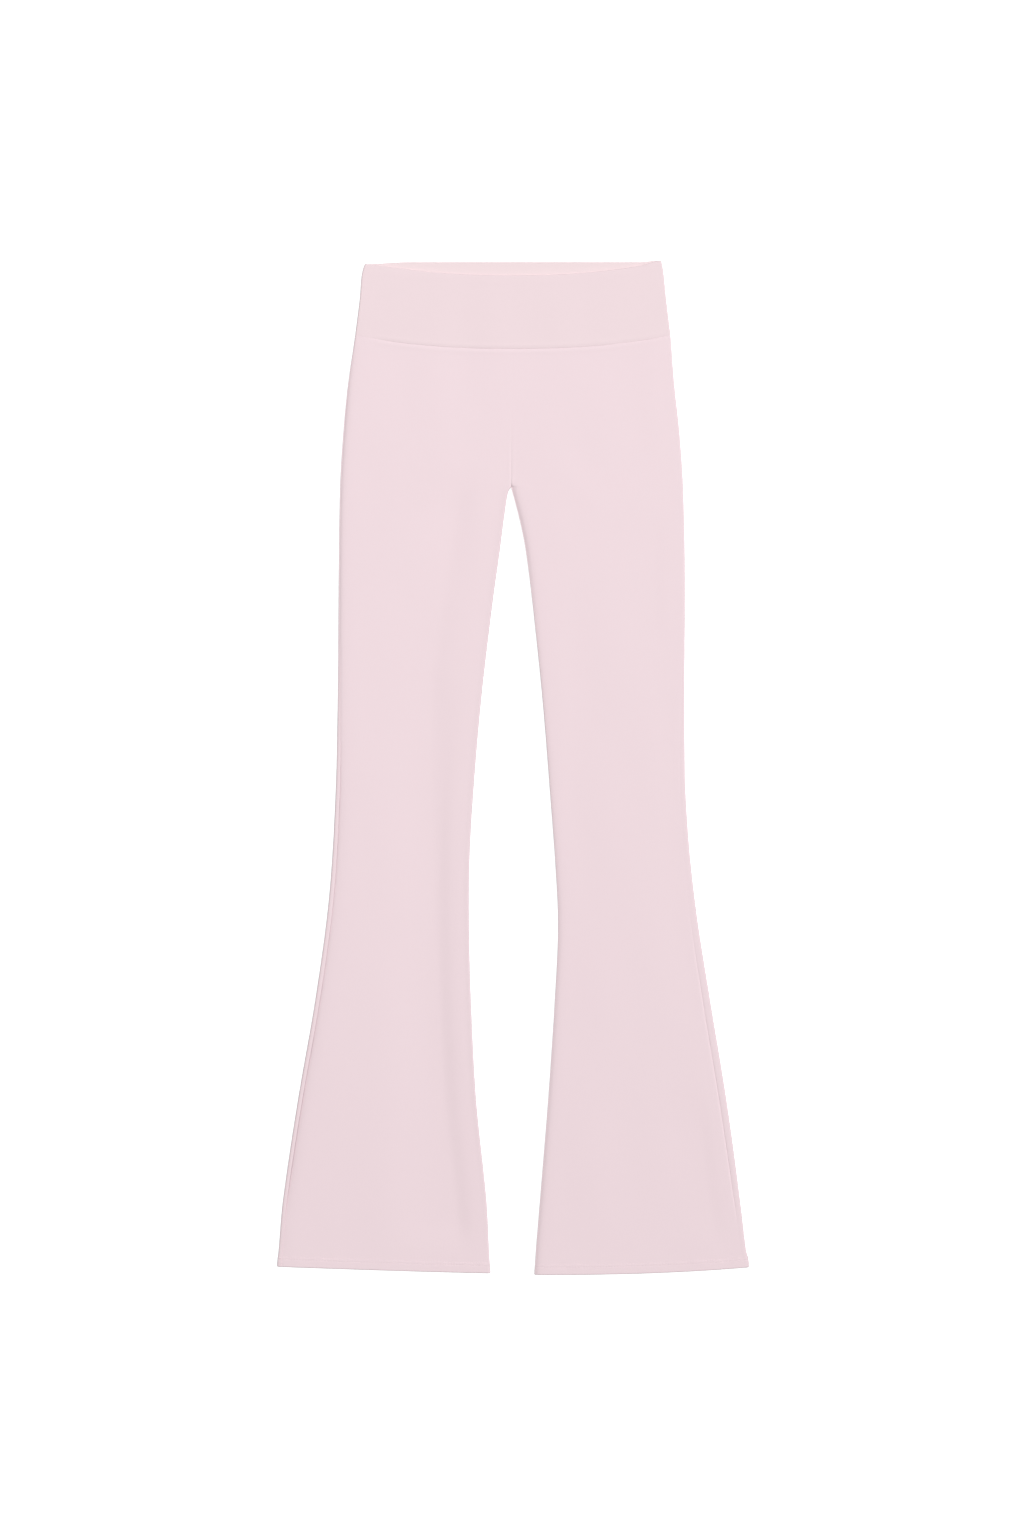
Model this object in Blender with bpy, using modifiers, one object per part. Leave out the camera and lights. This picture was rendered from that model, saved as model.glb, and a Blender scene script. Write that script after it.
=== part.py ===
# Flared jersey trousers, laid flat on their back with the front side up.
#
# Frame: the cloth rests on z = 0, the waist points to +Y and the hems to -Y, and +X is the wearer's left.
# The origin is the middle of the garment's outline. Sizes are millimetres, and place() turns them to metres.
#
# Each leg is a flattened tube of a front and a back panel. The section of every tube is a pill: the back
# panel lies flat, the front panel lies on it, and at the edges both roll into each other, where they are
# sewn. "Drop" is the distance below the top edge of the back waistband. "Run" is the distance along the
# cloth from the outermost point of such a rolled edge.

import math

import bmesh
import bpy

MM = 0.001

# Overall
LENGTH = 1084.0  # top edge of the back waistband to the lowest point of a hem
CENTRE = -2.0  # the centre seams lie this far beside the middle of the outline

# Cloth
WALL = 1.2  # one layer of mid-weight jersey
DOUBLE_WALL = 2.2  # two pressed layers, in the waistband and the turned hem
SEAM_GAP = 0.3  # between two pieces that are sewn together
ROLLED_SEAM_GAP = 0.44  # the same on the outside of a rolled edge, where the gap narrows inwards
ROLL = 2.8  # radius of the rolled edges, so the garment is 5.6 thick there
LEAST_PLY_GAP = 0.4  # air that is always left between front and back

# Waist
BAND_TOP_DIP = 14.5  # the front's top edge lies this far below the back's in the middle
BAND_TOP_DIP_POWER = 2.4
BAND_HALF_TOP = 158.0
TOP_END = {  # how far the back's top edge falls towards its ends, and between which distances
    "right": {"drop": 2.1, "from": 112.0, "to": 158.0},
    "left": {"drop": -1.4, "from": 136.0, "to": 154.0},
}
FRONT_SEAM_DROP = 93.4  # waist seam at the centre front
FRONT_SEAM_RISE = 14.6  # and how much higher it is at the sides
BACK_SEAM_DROP = 76.0  # waist seam at the centre back
SEAM_POWER = 2.4
SEAM_HALF_WIDTH = 169.5

# Crotch
CROTCH_DROP = 241.3
CREASE_LENGTH = 96.0  # over this length above the crotch the centre seams sink in between the legs
CREASE_POWER = 4.0  # and most of it close to the crotch
CROTCH_GAP = 0.8  # front and back stand this far apart where the four panels meet
CROTCH_GAP_REACH = 22.0

# Hem
HEM_DEPTH = 11.0  # the turned hem
HEM_STEP = 1.0  # over this length its wall goes from single to double

# How the front lies: it sinks below the rolled edges, over these distances from them
FADE_START = 7.0
FADE_END = 34.0

# Names of the two legs and the direction of each from the centre
LEGS = {"right": -1, "left": 1}

# Outer edges of the waistband and the legs, as distances from the middle of the outline
OUTER_COLUMNS = ("drop", "right", "left")
OUTER_EDGE = (
    (0.0, 157.5, 159.0),
    (6.0, 159.8, 160.2),
    (16.0, 162.0, 161.5),
    (41.0, 164.0, 164.0),
    (80.0, 169.0, 168.5),
    (131.0, 176.5, 172.5),
    (182.0, 181.5, 178.0),
    (241.0, 185.0, 182.0),
    (335.0, 186.5, 184.0),
    (469.0, 187.5, 183.5),
    (576.0, 190.0, 185.0),
    (683.0, 197.0, 194.5),
    (790.0, 211.5, 211.0),
    (897.0, 230.0, 228.5),
    (1004.0, 246.0, 243.0),
    (1056.0, 250.6, 249.2),
    (1068.0, 251.8, 252.0),
    (1084.0, 252.6, 252.6),
)

# Inner edges of the legs below the crotch, as distances from the centre seams
INNER_COLUMNS = ("drop", "right", "left")
INNER_EDGE = (
    (CROTCH_DROP, 0.0, 0.0),
    (255.0, 4.9, 3.6),
    (282.0, 8.6, 10.4),
    (309.0, 12.0, 15.6),
    (362.0, 19.4, 22.5),
    (469.0, 32.0, 33.7),
    (576.0, 41.0, 42.3),
    (645.0, 44.6, 47.4),
    (710.0, 45.0, 50.3),
    (790.0, 43.0, 46.8),
    (897.0, 37.4, 39.6),
    (1004.0, 26.4, 30.9),
    (1058.0, 23.6, 26.5),
    (1084.0, 22.0, 25.0),
)

# The hem of each leg: the drops of its two ends, and how suddenly it rises from one to the other
HEM_EDGE = {
    "right": {"inner": 1082.2, "outer": 1075.2, "power": 1.2},
    "left": {"inner": 1084.0, "outer": 1075.8, "power": 2.4},
}

# How far the outer side seam lies round the rolled edge, towards the front
LAP_COLUMNS = ("drop", "right", "left")
SIDE_SEAM_LAP = (
    (0.0, 0.4, 0.4),
    (94.0, 1.6, 1.0),
    (200.0, 2.8, 1.6),
    (380.0, 3.4, 2.8),
    (470.0, 4.6, 4.8),
    (560.0, 6.0, 7.0),
    (740.0, 6.6, 9.4),
    (850.0, 6.4, 9.8),
    (950.0, 6.1, 9.0),
    (1084.0, 5.6, 6.6),
)

# How far the middle of the front sinks below the rolled edges
SINK = 0.5
FOLDS_FROM_WAIST = 45.0  # below the waist seam the folds grow to their full height over this distance
FOLDS_ABOVE_HEM = (18.0, 54.0)  # and above the hem between these
FOLDS_LEFT_IN_BAND = 0.3  # share of a fold's height in the waistband and at the hem

# Soft folds in the front, ridges with a positive height and troughs with a negative one. Each runs from
# its first point to its end point, and has one width towards the right leg and one towards the left.
FOLD_COLUMNS = ("x", "drop", "end_x", "end_drop", "right_width", "left_width", "height")
FOLDS = (
    (-60.0, 245.0, -90.0, 450.0, 44.0, 17.0, -1.3),
    (-90.0, 450.0, -86.0, 690.0, 44.0, 20.0, -2.0),
    (-86.0, 690.0, -76.0, 900.0, 48.0, 20.0, -2.1),
    (-76.0, 900.0, -58.0, 1050.0, 50.0, 18.0, -1.8),
    (-120.0, 165.0, -124.0, 330.0, 30.0, 60.0, 0.4),
    (-60.0, 210.0, -96.0, 262.0, 16.0, 16.0, 0.35),
    (52.0, 214.0, 92.0, 270.0, 16.0, 16.0, 0.35),
    (150.0, 280.0, 152.0, 400.0, 26.0, 12.0, -0.4),
    (112.0, 560.0, 122.0, 830.0, 40.0, 60.0, 0.4),
    (196.0, 900.0, 214.0, 1040.0, 44.0, 12.0, -0.7),
)

# Rows and columns of the meshes: from, to, and the number of faces between
BAND_ROWS = ((0.0, 0.12, 1), (0.12, 0.88, 4), (0.88, 1.0, 1))
LEG_ROWS = (
    (FRONT_SEAM_DROP, 110.0, 2),
    (110.0, 200.0, 3),
    (200.0, CROTCH_DROP, 4),
    (CROTCH_DROP, 255.0, 2),
    (255.0, 309.0, 2),
    (309.0, 1030.0, 17),
    (1030.0, LENGTH - HEM_DEPTH - HEM_STEP, 1),
    (LENGTH - HEM_DEPTH - HEM_STEP, LENGTH - HEM_DEPTH, 1),
    (LENGTH - HEM_DEPTH, LENGTH, 1),
)
SEAM_FACE = 0.2  # width of the face beside a seam, narrow so that the wall ends square to the cloth
ROLL_FACES = 4  # faces round a rolled edge
LAPPED_ROLL_FACES = 6  # and where the back panel goes on round it to the front
BEYOND_ROLL = (3.5, 13.0)  # further columns, from the end of the roll
FRONT_MIDDLE_FACES = 10
BACK_MIDDLE_FACES = 3
BAND_MIDDLE_FACES = 14
WARP_REACH = 140.0  # rows follow the waist seam and the hem over this distance from them
SETTLING_PASSES = 4

QUARTER_TURN = math.pi / 2

CLOTH_COLOUR = (0.86, 0.70, 0.735, 1.0)  # pale pink
INSIDE_COLOUR = (0.88, 0.72, 0.755, 1.0)
CLOTH_ROUGHNESS = 0.85


def ease(value, start, end):
    """0 before start, 1 after end, and smooth between."""
    t = min(max((value - start) / (end - start), 0.0), 1.0)
    return t * t * (3.0 - 2.0 * t)


def read(table, columns, name, drop):
    """The named column of a table at a drop, on a smooth curve through its rows."""
    column = columns.index(name)
    drops = [row[0] for row in table]
    values = [row[column] for row in table]
    last = len(table) - 1
    if drop <= drops[0]:
        return values[0]
    if drop >= drops[last]:
        return values[last]
    k = max(i for i in range(last) if drops[i] <= drop)

    def slope(i):
        low = max(i - 1, 0)
        high = min(i + 1, last)
        return (values[high] - values[low]) / (drops[high] - drops[low])

    span = drops[k + 1] - drops[k]
    t = (drop - drops[k]) / span
    ahead = t * t * (3.0 - 2.0 * t)
    leave = t * (1.0 - t) ** 2 * span * slope(k)
    arrive = t * t * (t - 1.0) * span * slope(k + 1)
    return values[k] * (1.0 - ahead) + values[k + 1] * ahead + leave + arrive


def outer_x(leg, drop):
    return LEGS[leg] * read(OUTER_EDGE, OUTER_COLUMNS, leg, drop)


def inner_x(leg, drop):
    opening = read(INNER_EDGE, INNER_COLUMNS, leg, drop)
    return CENTRE + LEGS[leg] * (SEAM_GAP / 2 + opening)


def front_top_drop(x):
    """The front waistband's top edge. It meets the back's at the side seams."""
    across = min(abs(x) / BAND_HALF_TOP, 1.0)
    return back_top_drop(x) + BAND_TOP_DIP * (1.0 - across**BAND_TOP_DIP_POWER)


def back_top_drop(x):
    """The back waistband's top edge, level but for its ends."""
    drop = 0.0
    for leg, way in LEGS.items():
        end = TOP_END[leg]
        drop += end["drop"] * ease(way * x, end["from"], end["to"])
    return drop


def front_seam_drop(x):
    across = abs(x) / SEAM_HALF_WIDTH
    return FRONT_SEAM_DROP - FRONT_SEAM_RISE * across**SEAM_POWER


def back_seam_drop(x):
    """It leaves the side seams where the front's does, and rises to the centre back."""
    across = abs(x) / SEAM_HALF_WIDTH
    side_drop = FRONT_SEAM_DROP - FRONT_SEAM_RISE
    return BACK_SEAM_DROP + (side_drop - BACK_SEAM_DROP) * across**SEAM_POWER


def hem_drop(leg, x):
    hem = HEM_EDGE[leg]
    inner_end = inner_x(leg, LENGTH)
    across = (x - inner_end) / (outer_x(leg, LENGTH) - inner_end)
    rise = min(max(across, 0.0), 1.0) ** hem["power"]
    return hem["inner"] + (hem["outer"] - hem["inner"]) * rise


def crease_turn(drop):
    """How far the cloth has turned in towards the centre seam: not at all above, a quarter at the crotch."""
    sunk = min(max((drop - CROTCH_DROP + CREASE_LENGTH) / CREASE_LENGTH, 0.0), 1.0)
    return QUARTER_TURN * sunk**CREASE_POWER


def fold_height(x, drop):
    """The sum of all folds. Each is a straight soft ridge that dies away at its ends."""
    total = 0.0
    for row in FOLDS:
        fold = dict(zip(FOLD_COLUMNS, row))
        along_x = fold["end_x"] - fold["x"]
        along_drop = fold["end_drop"] - fold["drop"]
        length = math.hypot(along_x, along_drop)
        from_x = x - fold["x"]
        from_drop = drop - fold["drop"]
        along = (from_x * along_x + from_drop * along_drop) / length
        beside = (from_x * along_drop - from_drop * along_x) / length
        end = (fold["right_width"] + fold["left_width"]) / 2
        ends = ease(along, -end, end) * (1.0 - ease(along, length - end, length + end))
        width = fold["right_width"] if beside < 0.0 else fold["left_width"]
        total += fold["height"] * ends * math.exp(-((beside / width) ** 2))
    return total


def from_outline(x, drop):
    """Distance from the nearest rolled edge. The centre seam counts as far as the cloth turns in at it."""
    to_sides = min(outer_x("left", drop) - x, x - outer_x("right", drop))
    leg = "left" if x > CENTRE else "right"
    to_inner = LEGS[leg] * (x - inner_x(leg, drop))
    open_share = 1.0 - crease_turn(drop) / QUARTER_TURN
    return min(to_sides, to_inner + open_share * FADE_END)


def single_share(drop):
    """1 where the legs are single cloth, and 0 in the waistband and at the hem."""
    below_waist = ease(drop, FRONT_SEAM_DROP, FRONT_SEAM_DROP + FOLDS_FROM_WAIST)
    return below_waist * ease(LENGTH - drop, *FOLDS_ABOVE_HEM)


def front_level(x, drop):
    """Height of the front's upper side before its edges roll down."""
    single = single_share(drop)
    folds = fold_height(x, drop) * (FOLDS_LEFT_IN_BAND + (1.0 - FOLDS_LEFT_IN_BAND) * single)
    wall = DOUBLE_WALL + (WALL - DOUBLE_WALL) * single
    reach = ease(from_outline(x, drop), FADE_START, FADE_END)
    return max(2 * ROLL + reach * (folds - SINK), 2 * wall + LEAST_PLY_GAP)


def round_edge(run, turn):
    """How far across from the edge, and how far off the face, the cloth is at a run."""
    bend = turn - run / ROLL
    if bend <= 0.0:
        return ROLL * math.sin(turn) - ROLL * bend, 0.0
    if bend <= math.pi:
        return ROLL * (math.sin(turn) - math.sin(bend)), ROLL * (1.0 - math.cos(bend))
    return ROLL * math.sin(turn) + ROLL * (bend - math.pi), 2 * ROLL


def edge_runs(start, turn, faces):
    """Runs of the columns round one edge: a narrow face at the seam, the roll, and some beyond it."""
    narrow = start + SEAM_FACE
    roll_end = max(turn * ROLL, narrow + 1.0)
    round_it = [narrow + (roll_end - narrow) * k / faces for k in range(faces + 1)]
    return [start] + round_it + [roll_end + run for run in BEYOND_ROLL]


def column_runs(near, far, total, middle_faces):
    """Runs of all columns, from those round the near edge to those round the far one."""
    first = near[-1]
    step = (total - far[-1] - first) / middle_faces
    middle = [first + step * k for k in range(1, middle_faces)]
    return near + middle + [total - run for run in reversed(far)]


def stations(spans):
    """The ends of all faces along spans of (from, to, number of faces)."""
    found = [spans[0][0]]
    for start, end, faces in spans:
        found += [start + (end - start) * (k + 1) / faces for k in range(faces)]
    return found


def section_points(side, first, second, drop_at, roll_faces, middle_faces):
    """The outer points of one row of a panel, from its first edge to its second.

    side is 1 for the front and -1 for the back. first and second give, at a drop, the edge's x, its turn,
    the run of its seam and the gap in it. drop_at gives the drop of this row at an x.
    """
    points = []
    columns = sum(len(edge_runs(0.0, 0.0, faces)) for faces in roll_faces) + middle_faces - 1
    for column in range(columns):
        x = 0.0
        for _ in range(SETTLING_PASSES):  # x depends on the drop and, where a row curves, the drop on x
            drop = drop_at(x)
            first_x, first_turn, first_lap, first_gap = first(drop)
            second_x, second_turn, second_lap, second_gap = second(drop)
            way = 1.0 if second_x > first_x else -1.0
            bends = math.sin(first_turn) + math.sin(second_turn)
            flat = abs(second_x - first_x) - ROLL * bends
            total = flat + ROLL * (first_turn + second_turn)
            near = edge_runs(side * first_lap + first_gap / 2, first_turn, roll_faces[0])
            far = edge_runs(side * second_lap + second_gap / 2, second_turn, roll_faces[1])
            run = column_runs(near, far, total, middle_faces)[column]
            if run < total / 2:
                across, off = round_edge(run, first_turn)
                x = first_x + way * across
            else:
                across, off = round_edge(total - run, second_turn)
                x = second_x - way * across
        z = front_level(x, drop) - off if side > 0 else off
        points.append((x, drop, z))
    return points


def panel_mesh(name, rows):
    """A grid with a vertex for every point of the rows."""
    cloth = bmesh.new()
    across = len(rows[0])
    bmesh.ops.create_grid(cloth, x_segments=across - 1, y_segments=len(rows) - 1, size=1.0)
    # The grid runs row by row from its corner at -x, -y.
    for vertex, point in zip(cloth.verts, [point for row in rows for point in row]):
        x, drop, z = point
        vertex.co = (x * MM, (LENGTH / 2 - drop) * MM, z * MM)
    mesh = bpy.data.meshes.new(name)
    cloth.to_mesh(mesh)
    cloth.free()
    return mesh


def face_outwards(mesh, side):
    """Turns the faces up on a front panel and down on a back one, judged by their summed area."""
    lean = sum(face.normal.z * face.area for face in mesh.polygons)
    if lean * side < 0.0:
        mesh.flip_normals()


def cloth_material(name, colour):
    material = bpy.data.materials.new(name)
    material.use_nodes = True
    shader = material.node_tree.nodes["Principled BSDF"]
    shader.inputs["Base Color"].default_value = colour
    shader.inputs["Roughness"].default_value = CLOTH_ROUGHNESS
    material.diffuse_color = colour
    return material


def place(name, rows, side, colour, collection):
    """One piece of cloth: its outer points, thickened inwards. Returns the object."""
    mesh = panel_mesh(name, rows)
    face_outwards(mesh, side)
    mesh.shade_smooth()
    mesh.materials.append(cloth_material(name, colour))
    piece = bpy.data.objects.new(name, mesh)
    collection.objects.link(piece)
    thicken = piece.modifiers.new("wall", "SOLIDIFY")
    thicken.offset = -1.0
    return piece


def double_wall(piece, rows, is_double):
    """Doubles the wall where is_double says so, but not in the rolled edges, which are pressed thin."""
    doubled = piece.vertex_groups.new(name="doubled")
    for index, point in enumerate([point for row in rows for point in row]):
        x, drop, _ = point
        share = ease(from_outline(x, drop), ROLL, 2 * ROLL) if is_double(x, drop) else 0.0
        doubled.add([index], share, "REPLACE")
    thicken = piece.modifiers["wall"]
    thicken.thickness = DOUBLE_WALL * MM
    thicken.vertex_group = doubled.name
    thicken.thickness_vertex_group = WALL / DOUBLE_WALL


def outer_edge(leg):
    def at(drop):
        lap = read(SIDE_SEAM_LAP, LAP_COLUMNS, leg, drop)
        return outer_x(leg, drop), QUARTER_TURN, lap, ROLLED_SEAM_GAP

    return at


def inner_edge(leg):
    def at(drop):
        turn = crease_turn(drop)
        spread = 1.0 - ease(abs(drop - CROTCH_DROP), 0.0, CROTCH_GAP_REACH)
        gap = (ROLLED_SEAM_GAP + (CROTCH_GAP - ROLLED_SEAM_GAP) * spread) * turn / QUARTER_TURN
        return inner_x(leg, drop), turn, 0.0, gap

    return at


def leg_panel(leg, side, collection):
    """The front (side 1) or back (side -1) panel of a leg, from the waist seam to the hem."""
    seam_drop = front_seam_drop if side > 0 else back_seam_drop
    roll_faces = (ROLL_FACES, ROLL_FACES if side > 0 else LAPPED_ROLL_FACES)
    middle_faces = FRONT_MIDDLE_FACES if side > 0 else BACK_MIDDLE_FACES
    rows = []
    for station in stations(LEG_ROWS):

        def drop_at(x, station=station):
            to_seam = seam_drop(x) + SEAM_GAP / 2 - FRONT_SEAM_DROP
            to_hem = hem_drop(leg, x) - LENGTH
            near_seam = 1.0 - ease(station, FRONT_SEAM_DROP, FRONT_SEAM_DROP + WARP_REACH)
            near_hem = 1.0 - ease(LENGTH - station, 0.0, WARP_REACH)
            if station >= LENGTH - HEM_DEPTH - HEM_STEP:
                near_hem = 1.0
            return station + to_seam * near_seam + to_hem * near_hem

        rows.append(
            section_points(
                side, inner_edge(leg), outer_edge(leg), drop_at, roll_faces, middle_faces
            )
        )
    name = f"{'front' if side > 0 else 'back'}_leg_{leg}"
    piece = place(name, rows, side, CLOTH_COLOUR, collection)
    half_step = HEM_STEP / 2
    double_wall(piece, rows, lambda x, drop: hem_drop(leg, x) - drop < HEM_DEPTH + half_step)


def waistband(side, collection):
    """The front (side 1) or back (side -1) half of the waistband, from one side seam to the other."""
    top_drop = front_top_drop if side > 0 else back_top_drop
    seam_drop = front_seam_drop if side > 0 else back_seam_drop
    rows = []
    for share in stations(BAND_ROWS):

        def drop_at(x, share=share):
            top = top_drop(x)
            return top + (seam_drop(x) - SEAM_GAP / 2 - top) * share

        roll_faces = (ROLL_FACES, ROLL_FACES)
        rows.append(
            section_points(
                side, outer_edge("right"), outer_edge("left"), drop_at, roll_faces, BAND_MIDDLE_FACES
            )
        )
    name = "waistband_front" if side > 0 else "waistband_back"
    colour = CLOTH_COLOUR if side > 0 else INSIDE_COLOUR
    piece = place(name, rows, side, colour, collection)
    double_wall(piece, rows, lambda x, drop: True)


def main():
    for old in list(bpy.data.objects):
        bpy.data.objects.remove(old, do_unlink=True)
    collection = bpy.data.collections.new("flared trousers")
    bpy.context.scene.collection.children.link(collection)
    for side in (-1, 1):
        waistband(side, collection)
        for leg in LEGS:
            leg_panel(leg, side, collection)


main()
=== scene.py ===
# Flared jersey trousers laid flat, front side up, seen from straight above.
# Lengths are millimetres up to the moment a mesh is made. "Drop" is the distance below the top edge of the
# back waistband, and "run" the distance along the cloth from the outermost line of a rolled edge. "Way" is
# -1 for the wearer's right leg and 1 for the left, and "side" is 1 for the front and -1 for the back.
import math

import bmesh
import bpy
import numpy as np
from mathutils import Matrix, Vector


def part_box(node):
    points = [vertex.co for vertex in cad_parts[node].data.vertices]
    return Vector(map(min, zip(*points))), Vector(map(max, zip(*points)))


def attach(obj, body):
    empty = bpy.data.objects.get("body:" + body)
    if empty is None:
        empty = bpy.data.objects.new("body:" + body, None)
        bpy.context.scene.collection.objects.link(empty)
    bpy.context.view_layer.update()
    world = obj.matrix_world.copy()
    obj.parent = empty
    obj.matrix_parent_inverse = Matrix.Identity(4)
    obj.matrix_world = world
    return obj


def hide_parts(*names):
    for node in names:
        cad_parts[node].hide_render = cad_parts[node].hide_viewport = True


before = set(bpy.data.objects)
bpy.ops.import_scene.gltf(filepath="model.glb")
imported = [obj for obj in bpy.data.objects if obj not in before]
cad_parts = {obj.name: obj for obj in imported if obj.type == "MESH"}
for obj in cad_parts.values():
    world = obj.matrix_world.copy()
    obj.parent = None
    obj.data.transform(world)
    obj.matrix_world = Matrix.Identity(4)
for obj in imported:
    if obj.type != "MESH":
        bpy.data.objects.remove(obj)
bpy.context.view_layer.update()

mm = 0.001
quarterTurn = math.pi / 2
ways = {"right": -1, "left": 1}


def ease(value, start, end):
    t = np.clip((value - start) / (end - start), 0.0, 1.0)
    return t * t * (3.0 - 2.0 * t)


def smoothRead(places, values, at):
    # a smooth curve through unevenly spaced values, level beyond both ends
    places = np.asarray(places, float)
    values = np.asarray(values, float)
    index = np.arange(len(places))
    low = np.maximum(index - 1, 0)
    high = np.minimum(index + 1, len(places) - 1)
    slope = (values[high] - values[low]) / (places[high] - places[low])
    at = np.clip(at, places[0], places[-1])
    k = np.clip(np.searchsorted(places, at, side="right") - 1, 0, len(places) - 2)
    span = places[k + 1] - places[k]
    t = (at - places[k]) / span
    ahead = t * t * (3.0 - 2.0 * t)
    leave = t * (1.0 - t) ** 2 * span * slope[k]
    arrive = t * t * (t - 1.0) * span * slope[k + 1]
    return values[k] * (1.0 - ahead) + values[k + 1] * ahead + leave + arrive


cut = {
    "length": 1084.0,  # level top edge of the back waistband to the lowest point of a hem
    "centre": -2.0,  # the centre seams lie this far beside the middle
    "seamGap": 0.004,  # across a centre seam
    "roll": 2.8,  # radius of the rolled edges
    "wall": 1.2,
    "doubleWall": 2.2,  # where the cloth is turned
    "foldReach": 2.5,  # so near a folded edge, the rolled edges are double too
    "leastPlyGap": 0.4,  # between the front's cloth and the back's
    "leastLift": 0.25,  # of the cloth's inside above the floor
}

outline = {  # outer edges, as distances from the middle
    "drop": (0, 6, 16, 41, 80, 131, 182, 241, 335, 469, 576, 683, 790, 897, 1004, 1056, 1068, 1084),
    "right": (157.5, 159.8, 162, 164, 169, 176.5, 181.5, 185, 186.5, 187.5, 190, 197, 211.5, 230, 246,
              250.6, 251.8, 252.6),
    "left": (159, 160.2, 161.5, 164, 168.5, 172.5, 178, 182, 184, 183.5, 185, 194.5, 211, 228.5, 243,
             249.2, 252, 252.6),
}

inseam = {  # inner edges of the legs, as distances from the centre seams
    "drop": (241.3, 244.8, 251, 261, 282, 309, 362, 469, 576, 645, 710, 790, 897, 1004, 1058, 1084),
    "right": (0, 2.4, 4.1, 5.7, 8.6, 12, 19.4, 32, 41, 44.6, 45, 43, 37.4, 26.4, 23.6, 22),
    "left": (0, 0.8, 2.5, 5.2, 10.4, 15.6, 22.5, 33.7, 42.3, 47.4, 50.3, 46.8, 39.6, 30.9, 26.5, 25),
    "creaseLength": 96.0,  # above the crotch the centre seams sink in over this length
    "creasePower": 7.0,
}
crotchDrop = inseam["drop"][0]

sideSeam = {  # how far the side seam lies round the rolled edge, towards the front
    "drop": (0, 94, 200, 380, 470, 560, 740, 850, 950, 1084),
    "right": (0.4, 1.6, 2.8, 3.4, 4.6, 6, 6.6, 6.4, 6.1, 5.6),
    "left": (0.4, 1.0, 1.6, 2.8, 4.8, 7, 9.4, 9.8, 9.0, 6.6),
}

waist = {
    "topDip": 14.5,  # the front's top edge lies this far below the back's in the middle
    "topDipPower": 2.4,
    "topHalf": 158.0,
    # how far the top edge falls at each end, and between which distances from the middle
    "endFall": {"right": (2.1, 112.0, 158.0), "left": (-1.4, 136.0, 154.0)},
    "frontSeam": 93.4,
    "frontSeamRise": 14.6,
    "seamPower": 2.4,
    "backSeam": 76.0,
    "seamHalf": 169.5,
    "bandRows": 80.0,  # rows of a band are laid out for this height
}

hem = {
    "right": {"inner": 1082.2, "outer": 1075.2, "power": 1.2},
    "left": {"inner": 1084.0, "outer": 1075.8, "power": 2.4},
    "depth": 11.0,
}


def outerX(leg, drop):
    return ways[leg] * smoothRead(outline["drop"], outline[leg], drop)


def innerX(leg, drop):
    opening = smoothRead(inseam["drop"], inseam[leg], drop)
    return cut["centre"] + ways[leg] * (cut["seamGap"] / 2 + opening)


def backTopDrop(x):
    total = 0.0
    for leg, (fall, start, end) in waist["endFall"].items():
        total = total + fall * ease(ways[leg] * x, start, end)
    return total


def frontTopDrop(x):
    across = np.minimum(np.abs(x) / waist["topHalf"], 1.0)
    return backTopDrop(x) + waist["topDip"] * (1.0 - across ** waist["topDipPower"])


def frontSeamDrop(x):
    across = np.abs(x) / waist["seamHalf"]
    return waist["frontSeam"] - waist["frontSeamRise"] * across ** waist["seamPower"]


def backSeamDrop(x):
    across = np.abs(x) / waist["seamHalf"]
    side = waist["frontSeam"] - waist["frontSeamRise"]
    return waist["backSeam"] + (side - waist["backSeam"]) * across ** waist["seamPower"]


def hemDrop(leg, x):
    innerEnd = innerX(leg, cut["length"])
    across = (x - innerEnd) / (outerX(leg, cut["length"]) - innerEnd)
    edge = hem[leg]
    return edge["inner"] + (edge["outer"] - edge["inner"]) * np.clip(across, 0.0, 1.0) ** edge["power"]


def creaseTurn(drop):
    # how far the cloth has turned in towards the centre seam: a quarter turn from the crotch down
    sunk = np.clip((drop - crotchDrop + inseam["creaseLength"]) / inseam["creaseLength"], 0.0, 1.0)
    return quarterTurn * sunk ** inseam["creasePower"]


lie = {
    "sink": 0.5,  # the front lies this far below the top of a full roll
    "fade": (7.0, 34.0),  # folds fade out between these distances from an edge
    "backFade": (8.0, 24.0),  # the same on the underside
    "fromWaist": 45.0,  # below the waist seam, the front is single cloth from this distance on
    "aboveHem": (18.0, 54.0),  # and above the hem between these
    "foldsInBand": 0.3,  # share of a fold's height where the cloth is double
    "drift": (0.12, 48, 130, 3),  # low waves: height, shortest, longest, stretch along the leg
}

# beside an edge the front rounds down (positive) or rises to a thicker rim (negative), as deep as this at
# the waist, hip, crotch, thigh, knee, flare and hem
shoulder = {
    "drop": (60, 150, 250, 400, 600, 900, 1060),
    "depth": {
        "outerRight": (0, 1.5, 1.5, 1.5, 0.5, 0.5, 0.5),
        "innerRight": (0, 0, -0.5, -0.5, -0.5, -0.5, 0),
        "innerLeft": (0, 0, 2, 1, 1, 1.5, 1.5),
    },
    "start": 1.0,  # the depth is full out to this distance from the edge
    "reach": 3.0,  # and fades inwards over this one
    "square": 4.0,  # how square the rolled edges are: 2 is round
}

# soft ridges (positive height) and troughs:
# x, drop, end x, end drop, width towards the right leg, width towards the left leg, height
frontFolds = [
    (-60, 245, -90, 450, 44, 17, -1.3),
    (-90, 450, -86, 690, 44, 20, -2.0),
    (-86, 690, -76, 900, 48, 20, -2.1),
    (-76, 900, -58, 1050, 50, 18, -1.8),
    (-120, 165, -124, 330, 30, 60, 0.4),
    (-60, 210, -96, 262, 16, 16, 0.35),
    (52, 214, 92, 270, 16, 16, 0.35),
    (150, 280, 152, 400, 26, 12, -0.4),
    (112, 560, 122, 830, 40, 60, 0.4),
    (196, 900, 214, 1040, 44, 12, -0.7),
]

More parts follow.
